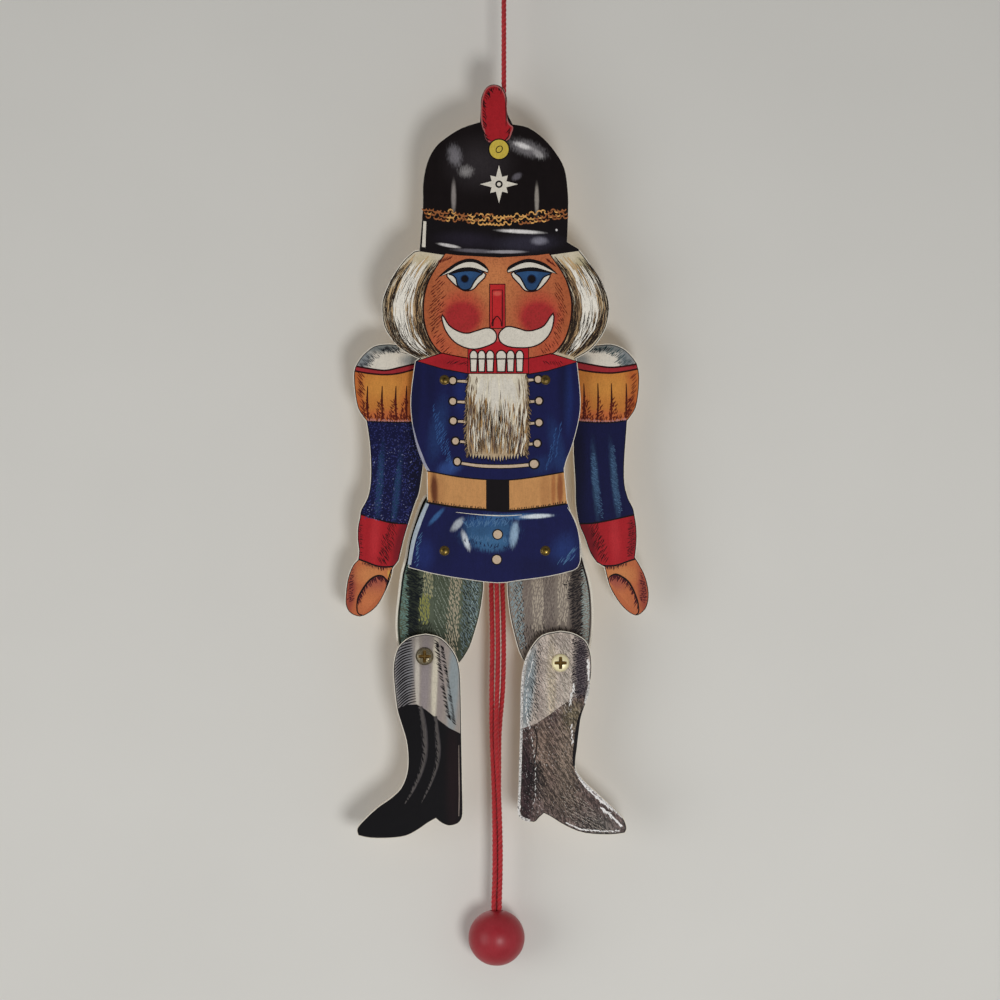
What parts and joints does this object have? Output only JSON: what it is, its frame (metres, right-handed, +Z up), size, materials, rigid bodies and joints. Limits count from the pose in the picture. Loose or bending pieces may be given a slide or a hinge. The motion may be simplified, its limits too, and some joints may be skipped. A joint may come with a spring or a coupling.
{
  "type": "jumping jack",
  "caption": "Flat wooden soldier that hangs on a loop of cord; pulling the ball below swings its arms and legs up, and its lower legs swing freely.",
  "frame": {"origin": "inside the top of the hanging loop, where a nail carries it, in the plane of the body board's back", "axes": "+Z up, +X to the right of someone who looks at the front, +Y away from them, into the wall"},
  "size_m": [0.1375, 0.0257, 0.4605],
  "materials": {
    "plywood": "sawn three-ply board, pale, unvarnished",
    "body_picture": "printed paper, satin varnish",
    "arm_picture": "printed paper, satin varnish",
    "thigh_picture": "printed paper, satin varnish",
    "boot_picture": "printed paper, satin varnish",
    "brass": "bright, slightly tarnished in the recesses",
    "zinc": "zinc plated",
    "spacer": "turned, natural",
    "red_cord": "twisted, dyed red",
    "red_ball": "satin red lacquer on turned wood"
  },
  "bodies": {
    "doll": {"body_board": "plywood", "body_print": "body_picture", "hanger_staple": "zinc", "hanging_cord": "red_cord", "hanging_loop": "red_cord", "left_shoulder_rivet": "brass", "left_shoulder_spacer": "spacer", "left_shoulder_washer": "zinc", "right_shoulder_rivet": "brass", "right_shoulder_spacer": "spacer", "right_shoulder_washer": "zinc", "left_hip_rivet": "brass", "left_hip_spacer": "spacer", "left_hip_washer": "zinc", "right_hip_rivet": "brass", "right_hip_spacer": "spacer", "right_hip_washer": "zinc"},
    "pull": {"left_arm_string": "red_cord", "right_arm_string": "red_cord", "left_leg_string": "red_cord", "right_leg_string": "red_cord", "arm_knot": "red_cord", "leg_knot": "red_cord", "pull_cord_left": "red_cord", "pull_cord_middle": "red_cord", "pull_cord_right": "red_cord", "pull_ball": "red_ball"},
    "left_arm": {"left_arm_board": "plywood", "left_arm_print": "arm_picture"},
    "left_thigh": {"left_thigh_board": "plywood", "left_thigh_print": "thigh_picture", "left_knee_screw": "brass", "left_knee_washer": "zinc", "left_knee_nut": "zinc"},
    "left_lower_leg": {"left_lower_leg_board": "plywood", "left_lower_leg_print": "boot_picture"},
    "right_arm": {"right_arm_board": "plywood", "right_arm_print": "arm_picture"},
    "right_thigh": {"right_thigh_board": "plywood", "right_thigh_print": "thigh_picture", "right_knee_screw": "brass", "right_knee_washer": "zinc", "right_knee_nut": "zinc"},
    "right_lower_leg": {"right_lower_leg_board": "plywood", "right_lower_leg_print": "boot_picture"}
  },
  "joints": [
    {"name": "pull_slide", "type": "slide", "parent": "doll", "child": "pull", "axis": [0, 0, -1], "range_m": [0, 0.01179]},
    {"name": "left_shoulder", "type": "hinge", "parent": "doll", "child": "left_arm", "pos_m": [-0.0267, 0, -0.1934], "axis": [0, 1, 0], "range_deg": [0, 95]},
    {"name": "right_shoulder", "type": "hinge", "parent": "doll", "child": "right_arm", "pos_m": [0.0187, 0, -0.1934], "axis": [0, -1, 0], "range_deg": [0, 95]},
    {"name": "left_hip", "type": "hinge", "parent": "doll", "child": "left_thigh", "pos_m": [-0.0267, 0, -0.2703], "axis": [0, 1, 0], "range_deg": [0, 70]},
    {"name": "right_hip", "type": "hinge", "parent": "doll", "child": "right_thigh", "pos_m": [0.0187, 0, -0.2703], "axis": [0, -1, 0], "range_deg": [0, 70]},
    {"name": "left_knee", "type": "hinge", "parent": "left_thigh", "child": "left_lower_leg", "pos_m": [-0.0357, 0, -0.3179], "axis": [0, 1, 0], "range_deg": [-11, 90]},
    {"name": "right_knee", "type": "hinge", "parent": "right_thigh", "child": "right_lower_leg", "pos_m": [0.0255, 0, -0.3208], "axis": [0, -1, 0], "range_deg": [-8, 90]}
  ],
  "couplings": [
    {"joint": "left_shoulder", "follows": "pull_slide", "rad_per_m": 140.6},
    {"joint": "right_shoulder", "follows": "pull_slide", "rad_per_m": 140.6},
    {"joint": "left_hip", "follows": "pull_slide", "rad_per_m": 103.6},
    {"joint": "right_hip", "follows": "pull_slide", "rad_per_m": 103.6}
  ]
}
